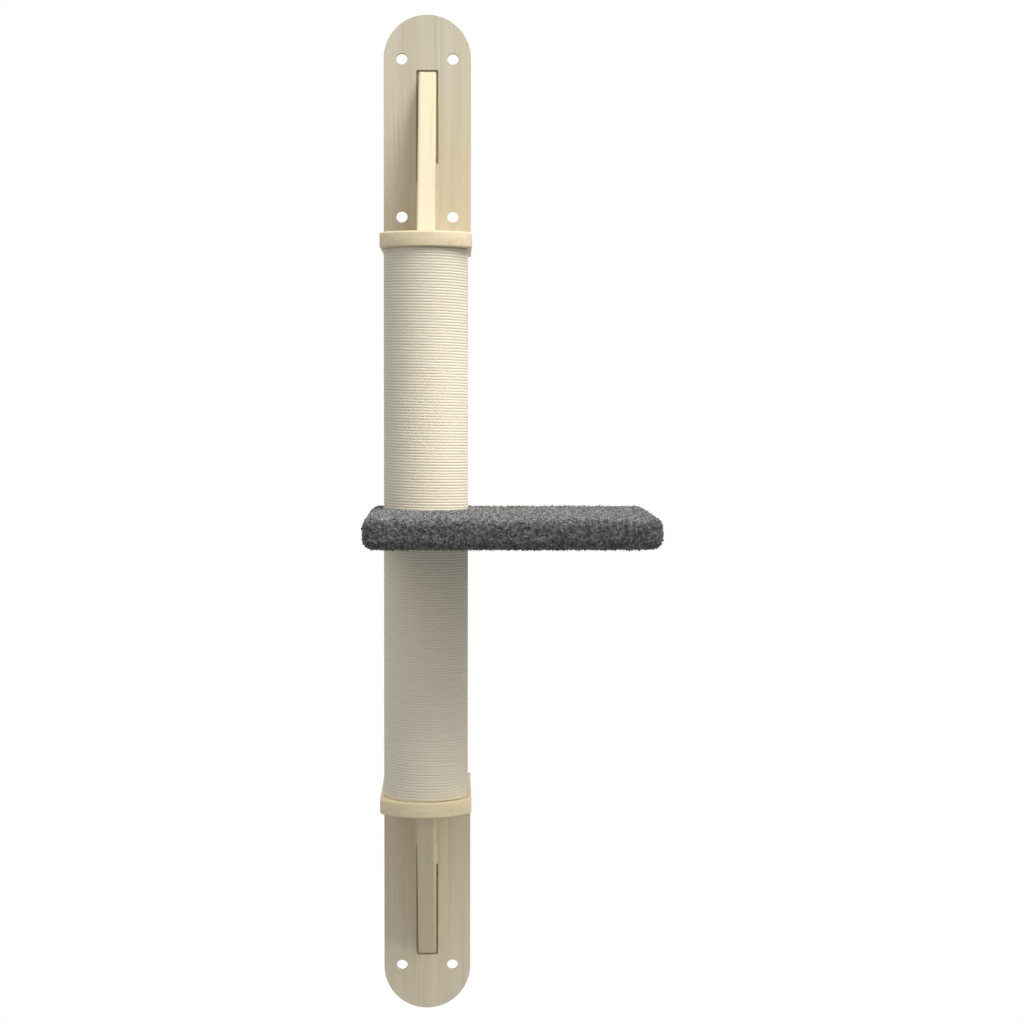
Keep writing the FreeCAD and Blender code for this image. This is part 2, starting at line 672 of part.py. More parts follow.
def staple(grow):
    """A staple with its crown at Z = 0 and its legs up, with grow all round."""
    half, wire, leg = size("staple_width") / 2 + grow, size("staple_wire") + 2 * grow, size("staple_leg") + grow
    crown_top = size("staple_wire") + grow
    section = [
        (-half, 0), (half, 0), (half, leg), (half - wire, leg),
        (half - wire, crown_top), (wire - half, crown_top), (wire - half, leg), (-half, leg),
    ]
    points = [Vector(x, -wire / 2, z) for x, z in section]
    return Part.Face(Part.makePolygon(points + points[:1])).extrude(Vector(0, wire, 0))


def staples(label, grow):
    """The row of staples along the seam of the underside."""
    count = int(size("staple_count"))
    first = size("staple_margin") - size("platform_left")
    last = size("platform_right") - size("staple_margin")
    places = []
    for i in range(count):
        x = first + (last - first) * i / (count - 1)
        places.append((x, size("staple_row"), -size("half_platform")))
    return group(label, at_places(staple(grow), places, (0, 0, 1)))


def platform_board():
    """The board inside the plush, with the stud's hole and the staples' prick holes."""
    body, _ = slab("board_blank", "-sizes.plush_thickness", "sizes.half_board")
    hole = sketch_on(body, "XY_Plane", "board_stud_hole", "sizes.half_board")
    circles(hole, [("0", "0")], "sizes.stud_diameter + 2 * sizes.fit_clearance")
    pocket(body, hole, "sizes.board_thickness")
    board = doc.addObject("Part::Cut", "platform_board")
    board.Label = "platform_board"
    board.Base = body
    board.Tool = staples("board_staple_holes", size("fit_clearance"))
    return seat_on_platform(board)


def plush_cover():
    """The plush round the board: pressed thin under both posts, open for the stud and the staples."""
    outside, block = slab("plush_outside", "0", "sizes.half_platform")
    fillet(outside, block, edges_of(block.Shape, lambda p, edge: True), "sizes.platform_round")
    inside, _ = slab("plush_inside", "(sizes.soft_clearance - sizes.plush_thickness)",
                     "sizes.half_board + sizes.soft_clearance")
    well_radius = "sizes.post_diameter / 2 + sizes.soft_clearance"
    well_depth = "sizes.half_platform - sizes.pressed_face"
    cuts = [
        inside,
        cylinder_on_axis("upper_post_well", well_radius, "sizes.pressed_face", well_depth),
        cylinder_on_axis("lower_post_well", well_radius, "-sizes.half_platform", well_depth),
        cylinder_on_axis("plush_stud_hole", "sizes.stud_diameter / 2 + sizes.soft_clearance",
                         "-sizes.half_platform", "2 * sizes.half_platform"),
        staples("plush_staple_holes", size("fit_clearance")),
    ]
    openings = doc.addObject("Part::MultiFuse", "plush_openings")
    openings.Shapes = cuts
    cover = doc.addObject("Part::Cut", "plush_cover")
    cover.Label = "plush_cover"
    cover.Base = outside
    cover.Tool = openings
    return seat_on_platform(cover)


def centre_stud():
    """The stud that draws both posts against the platform."""
    half = size("stud_half")
    return seat_on_platform(group("centre_stud", [stud_outline(-half, half)]))


# ---------------------------------------------------------------- build, check and write

nodes = []
for side in SIDES:
    nodes += [wall_plate(side), post_shelf(side), gusset(side), gusset_wedge(side)]
    nodes += [seat(group(f"{side}_{name}", pieces), side) for name, pieces in bracket_fasteners().items()]
    nodes += [post_core(side), shelf_plug(side), platform_plug(side), insert_nut(side), cord_winding(side)]
nodes += [platform_board(), plush_cover(), seat_on_platform(staples("cover_staples", 0)), centre_stud()]
doc.recompute()

for thing in doc.Objects:
    if "Invalid" in thing.State or "Error" in thing.State:
        raise RuntimeError(f"{thing.Label} is {thing.State}")
os.makedirs("parts", exist_ok=True)
for node in nodes:
    if node.Shape.isNull() or not node.Shape.isValid():
        raise RuntimeError(f"{node.Label} has no valid shape")
    node.Shape.exportStep(f"parts/{node.Label}.step")
    print(f"{node.Label}: {len(node.Shape.Solids)} solids, {node.Shape.Volume / 1000:.1f} cm3")
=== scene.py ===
import math

import bmesh
import bpy
import numpy as np
from mathutils import Euler, Matrix, Vector, noise


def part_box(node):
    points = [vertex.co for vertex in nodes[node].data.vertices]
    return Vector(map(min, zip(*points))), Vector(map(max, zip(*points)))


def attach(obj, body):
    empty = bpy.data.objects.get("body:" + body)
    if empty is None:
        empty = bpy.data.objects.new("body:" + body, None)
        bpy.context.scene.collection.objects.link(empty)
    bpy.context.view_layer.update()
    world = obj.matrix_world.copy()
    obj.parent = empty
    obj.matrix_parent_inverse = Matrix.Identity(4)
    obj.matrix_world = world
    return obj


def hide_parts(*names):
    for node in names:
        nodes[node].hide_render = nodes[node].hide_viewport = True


# A wall mounted cat tree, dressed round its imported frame: wound cords, a plush covered platform, pale wood
# and steel screws. All sizes are in metres in the frame's own axes: the wall is Y = 0, the front is -Y, and
# +Z is up.

MM = 0.001
SEED = 7
SIDES = ("upper", "lower")
FULL_TURN = 2 * math.pi
UPWARD = np.array([0.0, 0.0, 1.0])

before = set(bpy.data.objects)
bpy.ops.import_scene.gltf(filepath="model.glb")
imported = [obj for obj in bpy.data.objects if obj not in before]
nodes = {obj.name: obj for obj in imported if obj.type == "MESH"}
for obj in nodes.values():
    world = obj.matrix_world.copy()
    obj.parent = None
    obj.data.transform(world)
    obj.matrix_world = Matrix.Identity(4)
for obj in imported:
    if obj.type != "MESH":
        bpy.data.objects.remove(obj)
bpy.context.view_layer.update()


# ---------------------------------------------------------------- sizes read from the frame

WINDING_LOW, WINDING_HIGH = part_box("upper_cord_winding")
POST_RADIUS = (WINDING_HIGH.x - WINDING_LOW.x) / 2
AXIS_X = (WINDING_HIGH.x + WINDING_LOW.x) / 2
AXIS_Y = (WINDING_HIGH.y + WINDING_LOW.y) / 2
UPPER_POST_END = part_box("upper_post_core")[0].z
LOWER_POST_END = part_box("lower_post_core")[1].z
PLATFORM_LOW, PLATFORM_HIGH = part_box("plush_cover")
PLATFORM_MIDDLE = (PLATFORM_LOW.z + PLATFORM_HIGH.z) / 2
STAPLES_LOW, STAPLES_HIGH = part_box("cover_staples")
GUSSET_LOW, GUSSET_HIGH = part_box("upper_gusset")
PLATE_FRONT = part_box("upper_wall_plate")[0].y
GUSSET_SLOPE = math.atan2(GUSSET_HIGH.z - GUSSET_LOW.z, PLATE_FRONT - GUSSET_LOW.y)


# ---------------------------------------------------------------- small helpers


def new_object(name, verts, faces, smooth=True):
    """A mesh object from lists or arrays of corners and faces."""
    mesh = bpy.data.meshes.new(name)
    mesh.from_pydata([tuple(v) for v in verts], [], faces)
    mesh.update()
    for polygon in mesh.polygons:
        polygon.use_smooth = smooth
    thing = bpy.data.objects.new(name, mesh)
    bpy.context.scene.collection.objects.link(thing)
    return thing


def tube_faces(rows, columns, start=0):
    """Quads between rows of points that each close on themselves."""
    faces = []
    for i in range(rows - 1):
        for j in range(columns):
            a, b = start + i * columns + j, start + i * columns + (j + 1) % columns
            faces.append((a, b, b + columns, a + columns))
    return faces


def face_outwards(piece):
    """Turns the faces of a closed mesh outwards."""
    bm = bmesh.new()
    bm.from_mesh(piece.data)
    bmesh.ops.recalc_face_normals(bm, faces=bm.faces)
    bm.to_mesh(piece.data)
    bm.free()


def points_and_normals(mesh):
    """A mesh's points and their normals, as two arrays with a row for each point."""
    arrays = []
    for what in ("co", "normal"):
        values = np.zeros(len(mesh.vertices) * 3)
        mesh.vertices.foreach_get(what, values)
        arrays.append(values.reshape(-1, 3))
    return arrays


def distance_from_axis(points):
    """How far each point is from the posts' axis."""
    return np.hypot(points[:, 0] - AXIS_X, points[:, 1] - AXIS_Y)


def keep(piece, material, slot, *replaced):
    """Gives a new piece its material and its body, and hides the nodes that it stands for. The slot is not
    used.
    """
    piece.data.materials.clear()
    piece.data.materials.append(material)
    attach(piece, "root")
    if replaced:
        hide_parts(*replaced)
    return piece


# ---------------------------------------------------------------- node trees


class Nodes:
    """A node tree, with short calls that add and link nodes. Most return the new node's output."""

    def __init__(self, tree):
        self.tree = tree

    def add(self, kind, **values):
        """A new node itself, with its settings."""
        node = self.tree.nodes.new(kind)
        for name, value in values.items():
            setattr(node, name, value)
        return node

    def link(self, source, target):
        """Links a socket to an input, or sets the input to a plain value."""
        if isinstance(source, bpy.types.NodeSocket):
            self.tree.links.new(source, target)
        else:
            target.default_value = source

    def parts(self, vector):
        """The outputs X, Y and Z of a vector."""
        node = self.add("ShaderNodeSeparateXYZ")
        self.link(vector, node.inputs["Vector"])
        return node.outputs

    def spread(self, value, low, high, new_low=0.0, new_high=1.0):
        """A value carried over from one range to another, and held inside it."""
        node = self.add("ShaderNodeMapRange")
        self.link(value, node.inputs["Value"])
        for name, number in zip(("From Min", "From Max", "To Min", "To Max"), (low, high, new_low, new_high)):
            node.inputs[name].default_value = number
        return node.outputs["Result"]

    def math(self, operation, first, second=0.0):
        node = self.add("ShaderNodeMath", operation=operation)
        self.link(first, node.inputs[0])
        self.link(second, node.inputs[1])
        return node.outputs["Value"]

    def mix(self, factor, first, second, blend="MIX"):
        """Two colours, each a socket or a plain colour, mixed by a factor."""
        node = self.add("ShaderNodeMix", data_type="RGBA", blend_type=blend)
        self.link(factor, node.inputs["Factor"])
        for colour, target in ((first, node.inputs[6]), (second, node.inputs[7])):
            self.link(colour if isinstance(colour, bpy.types.NodeSocket) else (*colour, 1), target)
        return node.outputs[2]

    def mix_shaders(self, share, first, second):
        """A share of the second shader in the first."""
        node = self.add("ShaderNodeMixShader")
        for source, target in zip((share, first, second), node.inputs):
            self.link(source, target)
        return node.outputs[0]


class Surface(Nodes):
    """A material on the principled shader."""

    def __init__(self, name, roughness, specular=0.5, metallic=0.0, sheen=0.0):
        self.material = bpy.data.materials.new(name)
        self.material.use_nodes = True
        super().__init__(self.material.node_tree)
        self.shader = self.tree.nodes["Principled BSDF"]
        self.shader.inputs["Roughness"].default_value = roughness
        self.shader.inputs["Specular IOR Level"].default_value = specular
        self.shader.inputs["Metallic"].default_value = metallic
        self.shader.inputs["Sheen Weight"].default_value = sheen
        self.place = self.add("ShaderNodeTexCoord").outputs["Object"]

    def mapped(self, scale, turn=(0, 0, 0)):
        """The place on the object, turned and then scaled."""
        turned = self.add("ShaderNodeMapping")
        self.link(self.place, turned.inputs["Vector"])
        turned.inputs["Rotation"].default_value = turn
        scaled = self.add("ShaderNodeMapping")
        self.link(turned.outputs["Vector"], scaled.inputs["Vector"])
        scaled.inputs["Scale"].default_value = scale
        return scaled.outputs["Vector"]

    def noise(self, scale, detail, rough, distortion=0.0, at=None):
        """Noise, with so many waves to a metre, or to a unit of the vector that is given."""
        node = self.add("ShaderNodeTexNoise")
        self.link(at or self.place, node.inputs["Vector"])
        node.inputs["Scale"].default_value = scale
        node.inputs["Detail"].default_value = detail
        node.inputs["Roughness"].default_value = rough
        node.inputs["Distortion"].default_value = distortion
        return node.outputs["Fac"]

    def ramp(self, value, *stops):
        """A colour ramp through stops of (position, colour)."""
        node = self.add("ShaderNodeValToRGB")
        self.link(value, node.inputs["Fac"])
        points = node.color_ramp.elements
        while len(points) < len(stops):
            points.new(0.5)
        for point, (position, colour) in zip(points, stops):
            point.position = position
            point.color = (*colour, 1)
        return node.outputs["Color"]

    def bump(self, height, distance, strength=1.0):
        """Relief in the shading, without an output."""
        node = self.add("ShaderNodeBump")
        self.link(height, node.inputs["Height"])
        node.inputs["Distance"].default_value = distance
        node.inputs["Strength"].default_value = strength
        self.link(node.outputs["Normal"], self.shader.inputs["Normal"])

    def finish(self, colour, roughness=None):
        """The finished material, with its colour and, where it varies, its roughness."""
        self.link(colour, self.shader.inputs["Base Color"])
        if roughness is not None:
            self.link(roughness, self.shader.inputs["Roughness"])
        return self.material


# ---------------------------------------------------------------- materials

# colours are in linear light: woods, fibres, card and metals have a light tone and then a dark one, while the
# tones of yarn, plush and pile run from dark to light
GUSSET_TONES = (0.82, 0.735, 0.535), (0.725, 0.63, 0.43)
PLATE_TONES = (0.75, 0.69, 0.55), (0.645, 0.575, 0.43)
SHELF_TONES = (0.84, 0.74, 0.52), (0.76, 0.655, 0.44)
PLUG_TONES = (0.60, 0.45, 0.28), (0.48, 0.34, 0.20)
BOARD_TONES = (0.52, 0.39, 0.25), (0.40, 0.29, 0.18)
YELLOW_TINT, PINK_TINT = (1.0, 0.96, 0.84), (1.0, 0.95, 0.94)
YARN_TONES = (0.77, 0.71, 0.575), (0.85, 0.795, 0.67)
# the groove tone is painted shade between the rows of cord, and the twist tone is painted shade in the
# twist's furrows
YARN_TWIST_SHADE, YARN_CLOUD, YARN_GROOVE_SHADE = (0.68, 0.60, 0.45), (0.81, 0.75, 0.61), (0.60, 0.525, 0.39)
FIBRE_TONES = (0.84, 0.78, 0.66), (0.74, 0.67, 0.54)
CARD_TONES = (0.40, 0.29, 0.18), (0.32, 0.22, 0.13)
STEEL_TONES = (0.58, 0.57, 0.54), (0.44, 0.43, 0.41)
ZINC_TONES = (0.66, 0.67, 0.68), (0.54, 0.55, 0.56)
PLUSH_TONES = (0.062, 0.062, 0.063), (0.13, 0.13, 0.131), (0.24, 0.24, 0.24)
PILE_TONES = (0.075, 0.075, 0.076), (0.18, 0.18, 0.181), (0.38, 0.38, 0.38)
# painted shade: round the sides and underneath, the plush's colour is darker by this factor than on the top
SIDE_PAINTED_SHADE = 0.71
# the painted light on top runs in from this depth below the platform's top to this height above it
PAINTED_LIGHT_DEPTH, PAINTED_LIGHT_ABOVE = 4 * MM, 1 * MM


def shaded(colour, factor):
    return tuple(c * factor for c in colour)


def tinted(colour, tint):
    return tuple(c * t for c, t in zip(colour, tint))


def wood(name, light, dark, along, turn=(0, 0, 0)):
    """Planed wood whose grain runs along an axis index after a turn.

    It has streaks, wide yellow and pink bands, the lines of its rings and fine fibres.
    """
    surface = Surface(name, roughness=0.55, specular=0.35)

    def grain(across, lengthwise, detail, rough, distortion=0.0):
        """Noise drawn out along the grain, with its waves a metre across and along it."""
        scale = [across, across, across]
        scale[along] = lengthwise
        return surface.noise(1.0, detail, rough, distortion, at=surface.mapped(scale, turn))

    streaks = grain(60.0, 2.6, 4.0, 0.55, 0.35)
    fibres = grain(900.0, 14.0, 2.0, 0.6)
    bands = grain(34.0, 1.1, 2.0, 0.45, 0.5)
    lines = grain(150.0, 2.2, 3.0, 0.6, 0.8)
    tone = surface.ramp(surface.spread(streaks, 0.32, 0.68), (0.0, dark), (1.0, light))
    tone = surface.mix(surface.spread(bands, 0.46, 0.62, 0.0, 0.7), tone, tinted(light, YELLOW_TINT))
    tone = surface.mix(surface.spread(bands, 0.48, 0.36, 0.0, 0.6), tone, tinted(light, PINK_TINT))
    tone = surface.mix(surface.spread(lines, 0.53, 0.7, 0.0, 0.6), tone, shaded(dark, 0.86))
    tone = surface.mix(surface.spread(fibres, 0.35, 0.75, 0.0, 0.24), tone, shaded(dark, 0.82))
    surface.bump(fibres, 0.06 * MM, 0.6)
    return surface.finish(tone, surface.spread(fibres, 0.3, 0.7, 0.5, 0.66))


def cord_yarn(name):
    """Twisted pale cord: the twist runs round the strand, with shade painted in its furrows, fuzz and slow
    changes of tone.

    Between the rows, where the cords lie against each other, shade is painted into the yarn as a darker tone.
    The map "strand" has the turns of the twist in U and the way round the section in V.
    """
    surface = Surface(name, roughness=0.88, specular=0.2, sheen=0.15)
    strand_map = surface.parts(surface.add("ShaderNodeUVMap", uv_map="strand").outputs["UV"])
    turns = surface.math("ADD", strand_map["X"], strand_map["Y"])
    wave = surface.math("SINE", surface.math("MULTIPLY", turns, FULL_TURN))
    outward = surface.math("COSINE", surface.math("MULTIPLY", strand_map["Y"], FULL_TURN))
    fuzz = surface.noise(2600.0, 3.0, 0.65)
    clouds = surface.noise(60.0, 2.0, 0.5)
    darker, lighter = YARN_TONES
    tone = surface.ramp(surface.spread(fuzz, 0.3, 0.7), (0.0, darker), (1.0, lighter))
    # painted shade: darker in the furrows of the twist, where its relief is lowest
    tone = surface.mix(surface.spread(wave, -1.0, -0.2, 0.3, 0.0), tone, YARN_TWIST_SHADE)
    tone = surface.mix(surface.spread(clouds, 0.4, 0.7, 0.0, 0.2), tone, YARN_CLOUD)
    # painted shade: the yarn darkens towards the grooves between the rows, away from the outward face
    tone = surface.mix(surface.spread(outward, 0.92, 0.45, 0.0, 0.22), tone, YARN_GROOVE_SHADE)
    height = surface.math("ADD", surface.spread(wave, -1.0, 1.0), surface.math("MULTIPLY", fuzz, 0.8))
    surface.bump(height, 0.1 * MM, 0.45)
    return surface.finish(tone)


def plush(name, dark, middle, light):
    """Heathered plush, whose clumps and flecks run through three greys.

    Shade is painted round the sides and underneath, where the colour is darker than on the top, which is
    painted lighter as if lit from above.
    """
    surface = Surface(name, roughness=0.95, specular=0.15, sheen=0.25)
    flecks = surface.noise(640.0, 2.0, 0.65)
    clumps = surface.noise(230.0, 2.0, 0.5)
    height = surface.parts(surface.place)["Z"]
    painted_top_light = surface.spread(height, PLATFORM_HIGH.z - PAINTED_LIGHT_DEPTH, PLATFORM_HIGH.z + PAINTED_LIGHT_ABOVE)
    # the flecks are the plush's heathered colour, and their larger share on top is painted highlights and
    # shade of its lit tufts
    fleck_share = surface.spread(painted_top_light, 0.0, 1.0, 0.4, 0.9)
    pale_flecks = surface.math("MULTIPLY", surface.spread(flecks, 0.56, 0.7), fleck_share)
    dark_flecks = surface.math("MULTIPLY", surface.spread(flecks, 0.42, 0.3), fleck_share)
    tone = surface.ramp(surface.spread(clumps, 0.34, 0.66), (0.0, dark), (0.5, middle), (1.0, light))
    tone = surface.mix(pale_flecks, tone, shaded(light, 2.2))
    tone = surface.mix(dark_flecks, tone, shaded(dark, 1 / 3))
    # painted shade for the sides and underneath, and painted light for the top
    tone_with_painted_shade = surface.mix(1.0, tone, (SIDE_PAINTED_SHADE,) * 3, "MULTIPLY")
    surface.bump(surface.math("ADD", flecks, clumps), 0.5 * MM, 0.8)
    return surface.finish(surface.mix(painted_top_light, tone_with_painted_shade, tone))


def plain(name, light, dark, scale, roughness, metallic=0.0, specular=0.5):
    """A surface with soft mottling, for card, steel, loose fibres and the pieces inside."""
    surface = Surface(name, roughness=roughness, specular=specular, metallic=metallic)
    mottle = surface.noise(scale, 4.0, 0.6)
    surface.bump(mottle, 0.03 * MM, 0.4)
    tone = surface.ramp(surface.spread(mottle, 0.3, 0.7), (0.0, dark), (1.0, light))
    return surface.finish(tone, surface.spread(mottle, 0.3, 0.7, roughness - 0.06, roughness + 0.08))


# a gusset's grain runs along its sloping edge, and the lower one slopes the other way
GUSSET_LEAN = {"upper": math.pi / 2 - GUSSET_SLOPE, "lower": GUSSET_SLOPE - math.pi / 2}
WOODS = {
    "wall_plate": {side: wood(f"{side}_plate_wood", *PLATE_TONES, along=2) for side in SIDES},
    "post_shelf": {side: wood(f"{side}_shelf_wood", *SHELF_TONES, along=0) for side in SIDES},
    "gusset": {
        side: wood(f"{side}_gusset_wood", *GUSSET_TONES, along=2, turn=(GUSSET_LEAN[side], 0, 0))
        for side in SIDES
    },
    "gusset_wedge": {side: wood(f"{side}_wedge_wood", *GUSSET_TONES, along=2) for side in SIDES},
}
PLUG_WOOD = wood("turned_plug_wood", *PLUG_TONES, along=1)
BOARD_WOOD = wood("board_wood", *BOARD_TONES, along=0)
CARD = plain("cardboard", *CARD_TONES, scale=500.0, roughness=0.9, specular=0.2)
STEEL = plain("screw_steel", *STEEL_TONES, scale=900.0, roughness=0.34, metallic=1.0)
ZINC = plain("zinc_steel", *ZINC_TONES, scale=700.0, roughness=0.38, metallic=1.0)
YARN = cord_yarn("cord_yarn")
PLUSH = plush("grey_plush", *PLUSH_TONES)
PILE = plush("grey_pile", *PILE_TONES)
FIBRE_YARNS = {
    side: plain(f"{side}_fibre_yarn", *FIBRE_TONES, scale=300.0, roughness=0.9, specular=0.2)
    for side in SIDES
}


# ---------------------------------------------------------------- carried-over nodes

SHARP_ANGLE = math.radians(30)
WELD_DISTANCE = 0.002 * MM
EDGE_SOFTNESS = {"wall_plate": 0.9 * MM, "post_shelf": 0.3 * MM, "gusset": 0.3 * MM, "gusset_wedge": 0.5 * MM}


def dress(name, material, softness=0.0):
    """Paints a node, and takes the sharpness off its edges."""
    node = nodes[name]
    node.data.materials.clear()
    node.data.materials.append(material)
    if softness:
        weld = node.modifiers.new("weld", "WELD")
        weld.merge_threshold = WELD_DISTANCE
        soft = node.modifiers.new("soft_edges", "BEVEL")
        soft.width = softness
        soft.segments = 2
        soft.limit_method = "ANGLE"
        soft.angle_limit = SHARP_ANGLE
        soft.harden_normals = True


for part, by_side in WOODS.items():
    for side in SIDES:
        dress(f"{side}_{part}", by_side[side], EDGE_SOFTNESS[part])
for side in SIDES:
    dress(f"{side}_post_core", CARD)
    for part in ("shelf_plug", "platform_plug", "shelf_dowels"):
        dress(f"{side}_{part}", PLUG_WOOD)
    dress(f"{side}_insert_nut", ZINC)
dress("platform_board", BOARD_WOOD)
dress("centre_stud", ZINC)
dress("cover_staples", ZINC)


# ---------------------------------------------------------------- wound cords

CORD_PITCH = 3.08 * MM
CORD_STRANDS = 2
CORD_HALF_DEPTH = 0.62 * MM
CORD_HALF_HEIGHT = 1.64 * MM
CORD_FLATNESS = 2.3
CORD_SECTION = 14
CORD_STEPS = 72
CORD_START_ANGLE = 1.1
CORD_PATH_RADIUS = POST_RADIUS - CORD_HALF_DEPTH
CORD_WANDER = 0.03 * MM
WANDER_STEPS = 9
WANDER_OUTWARD = 0.7
PRESSED_IN = 0.9 * MM
PRESSED_THINNER = 0.3
TWIST_LENGTH = 2.6 * MM

FIBRE_COUNT = 2000
FIBRE_SEED = {"upper": 129, "lower": 120}
FIBRE_ROWS, FIBRE_SIDES = 4, 3
FIBRE_LENGTH = (1.4 * MM, 3.4 * MM)
FIBRE_WIDTH = (0.03 * MM, 0.055 * MM)
FIBRE_TAPER = 0.7
FIBRE_STAND = (0.35, 1.0)
FIBRE_SIDEWAYS, FIBRE_UP_OR_DOWN, FIBRE_BEND = 0.9, 0.45, 0.5
FIBRE_ROOT_DEPTH = 0.8 * MM
FIBRE_MARGIN = 3 * MM


def strand_rings(low, high, first_angle):
    """The section's points all along a cord that is wound down from high to low, left-handed.

    Its first and last rows are pressed flat against the shelf and the platform, under the other cord.
    """
    lead = CORD_STRANDS * CORD_PITCH
    top, bottom = high - CORD_HALF_HEIGHT, low + CORD_HALF_HEIGHT
    count = int((top - bottom + 2 * CORD_PITCH) / lead * CORD_STEPS) + 1
    steps = np.arange(count)
    angle = first_angle + FULL_TURN * steps / CORD_STEPS
    wanted = top + CORD_PITCH - lead * steps / CORD_STEPS
    height = np.clip(wanted, bottom, top)
    pressed = np.clip(np.abs(wanted - height) / CORD_PITCH, 0, 1)
    knots = np.arange(0, count + WANDER_STEPS, WANDER_STEPS)
    rng = np.random.default_rng(SEED + int(first_angle * 10))
    wander = np.interp(steps, knots, rng.normal(0, CORD_WANDER, len(knots)))
    radius = CORD_PATH_RADIUS - pressed * PRESSED_IN + wander * WANDER_OUTWARD
    height = height + wander * (pressed == 0)
    outward = np.stack([np.cos(angle), np.sin(angle), np.zeros(count)], 1)
    centre = np.stack([AXIS_X + radius * np.cos(angle), AXIS_Y + radius * np.sin(angle), height], 1)
    around = FULL_TURN * np.arange(CORD_SECTION) / CORD_SECTION
    circle = np.stack([np.cos(around), np.sin(around)])
    out_share, up_share = np.sign(circle) * np.abs(circle) ** (2 / CORD_FLATNESS)
    deep = CORD_HALF_DEPTH * (1 - PRESSED_THINNER * pressed)
    tall = CORD_HALF_HEIGHT * (1 - PRESSED_THINNER * pressed)
    out_reach = (deep[:, None] * out_share)[:, :, None] * outward[:, None, :]
    up_reach = (tall[:, None] * up_share)[:, :, None] * UPWARD
    return centre[:, None, :] + out_reach + up_reach


def map_strand(mesh, quads):
    """The map "strand": U counts the twist's turns along the cord, V goes once round its section."""
    loops = np.zeros(len(mesh.loops), np.int32)
    mesh.loops.foreach_get("vertex_index", loops)
    row, column = loops // CORD_SECTION, loops % CORD_SECTION
    twist_per_step = FULL_TURN * CORD_PATH_RADIUS / CORD_STEPS / TWIST_LENGTH
    uv = np.stack([row * twist_per_step, column / CORD_SECTION], 1).astype(np.float32)
    # the last column of each ring closes on the first, so its far corners take the next whole turn
    for far_corner in (1, 2):
        corner = np.arange(quads) * 4 + far_corner
        wraps = column[corner] == 0
        uv[corner[wraps], 1] = 1.0
    mesh.uv_layers.new(name="strand").data.foreach_set("uv", uv.ravel())


def strand(name, low, high, first_angle):
    """One cord of a post, as a closed tube."""
    rings = strand_rings(low, high, first_angle)
    count = len(rings)
    sides = tube_faces(count, CORD_SECTION)
    start = tuple(range(CORD_SECTION))
    end = tuple(range((count - 1) * CORD_SECTION, count * CORD_SECTION))[::-1]
    piece = new_object(name, rings.reshape(-1, 3), sides + [start, end])
    map_strand(piece.data, len(sides))
    face_outwards(piece)
    return piece


def fibres(name, low, high, seed):
    """Stray fibres that stand out of a post's cords, as thin bent strands."""
    rng = np.random.default_rng(seed)
    points, faces = [], []
    for _ in range(FIBRE_COUNT):
        angle = rng.uniform(0, FULL_TURN)
        height = rng.uniform(low + FIBRE_MARGIN, high - FIBRE_MARGIN)
        outward = np.array([math.cos(angle), math.sin(angle), 0.0])
        sideways = np.array([-math.sin(angle), math.cos(angle), 0.0])
        root = np.array([AXIS_X, AXIS_Y, height]) + outward * (POST_RADIUS - FIBRE_ROOT_DEPTH)
        length = rng.uniform(*FIBRE_LENGTH)
        lean = outward * rng.uniform(*FIBRE_STAND) + sideways * rng.normal(0, FIBRE_SIDEWAYS)
        lean += UPWARD * rng.normal(0, FIBRE_UP_OR_DOWN)
        lean /= np.linalg.norm(lean)
        bend = rng.normal(0, FIBRE_BEND, 3) * length
        width = rng.uniform(*FIBRE_WIDTH)
        base = len(points)
        for share in np.linspace(0, 1, FIBRE_ROWS):
            spot = root + lean * length * share + bend * share * share
            size = width * (1 - FIBRE_TAPER * share)
            for j in range(FIBRE_SIDES):
                turn = FULL_TURN * j / FIBRE_SIDES
                points.append(spot + (sideways * math.cos(turn) + UPWARD * math.sin(turn)) * size)
        faces += tube_faces(FIBRE_ROWS, FIBRE_SIDES, base)
        faces.append(tuple(range(base, base + FIBRE_SIDES))[::-1])
        faces.append(tuple(range(len(points) - FIBRE_SIDES, len(points))))
    return new_object(name, points, faces)


for side in SIDES:
    core_low, core_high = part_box(f"{side}_post_core")
    for index, letter in enumerate("ab"):
        first_angle = FULL_TURN * index / CORD_STRANDS + CORD_START_ANGLE
        cord = strand(f"{side}_cord_{letter}", core_low.z, core_high.z, first_angle)
        keep(cord, YARN, "cord", f"{side}_cord_winding")
    fuzz = fibres(f"{side}_cord_fibres", core_low.z, core_high.z, FIBRE_SEED[side])
    keep(fuzz, FIBRE_YARNS[side], "cord")


# ---------------------------------------------------------------- plush platform

PLUSH_STEP = 1.1 * MM
PLUSH_INSET = 0.2 * MM
PLUSH_FULLER_ABOVE, PLUSH_FULLER_BELOW = 1.8 * MM, 1.3 * MM
EDGE_ROUND = 12 * MM
CLUMP_WIDTH = 4.2 * MM
CLUMP_LEVEL = 0.4
CLUMP_HEIGHT, CLUMP_HIGHER_ON_TOP = 0.9 * MM, 0.5 * MM
FINE_WAVE, FINE_HEIGHT = 1.3 * MM, 0.45 * MM
SLOW_WAVE, SLOW_HEIGHT = 22 * MM, 0.35 * MM
PRESS_REACH = 2.2 * MM
PRESS_EDGE = 3.0 * MM
PRESS_GAP = 0.4 * MM
# how far a normal has to point up or down for the press, for the seam and for the strip without tufts
PRESS_FACING, SEAM_FACING, BARE_FACING = 0.9, 0.7, 0.5
SEAM_Y = (STAPLES_LOW.y + STAPLES_HIGH.y) / 2
SEAM_HALF = 3.2 * MM
SEAM_END = 4 * MM
SEAM_OVER_STAPLES = 0.9 * MM

TUFT_CLEAR_OF_POST = 2.5 * MM
TUFT_ROOT_DEPTH = 0.6 * MM
TUFT_SIDEWAYS = 0.6
TUFT_CURL = 0.45
TUFT_DROOP = 0.15
TUFT_FLATNESS = 0.7
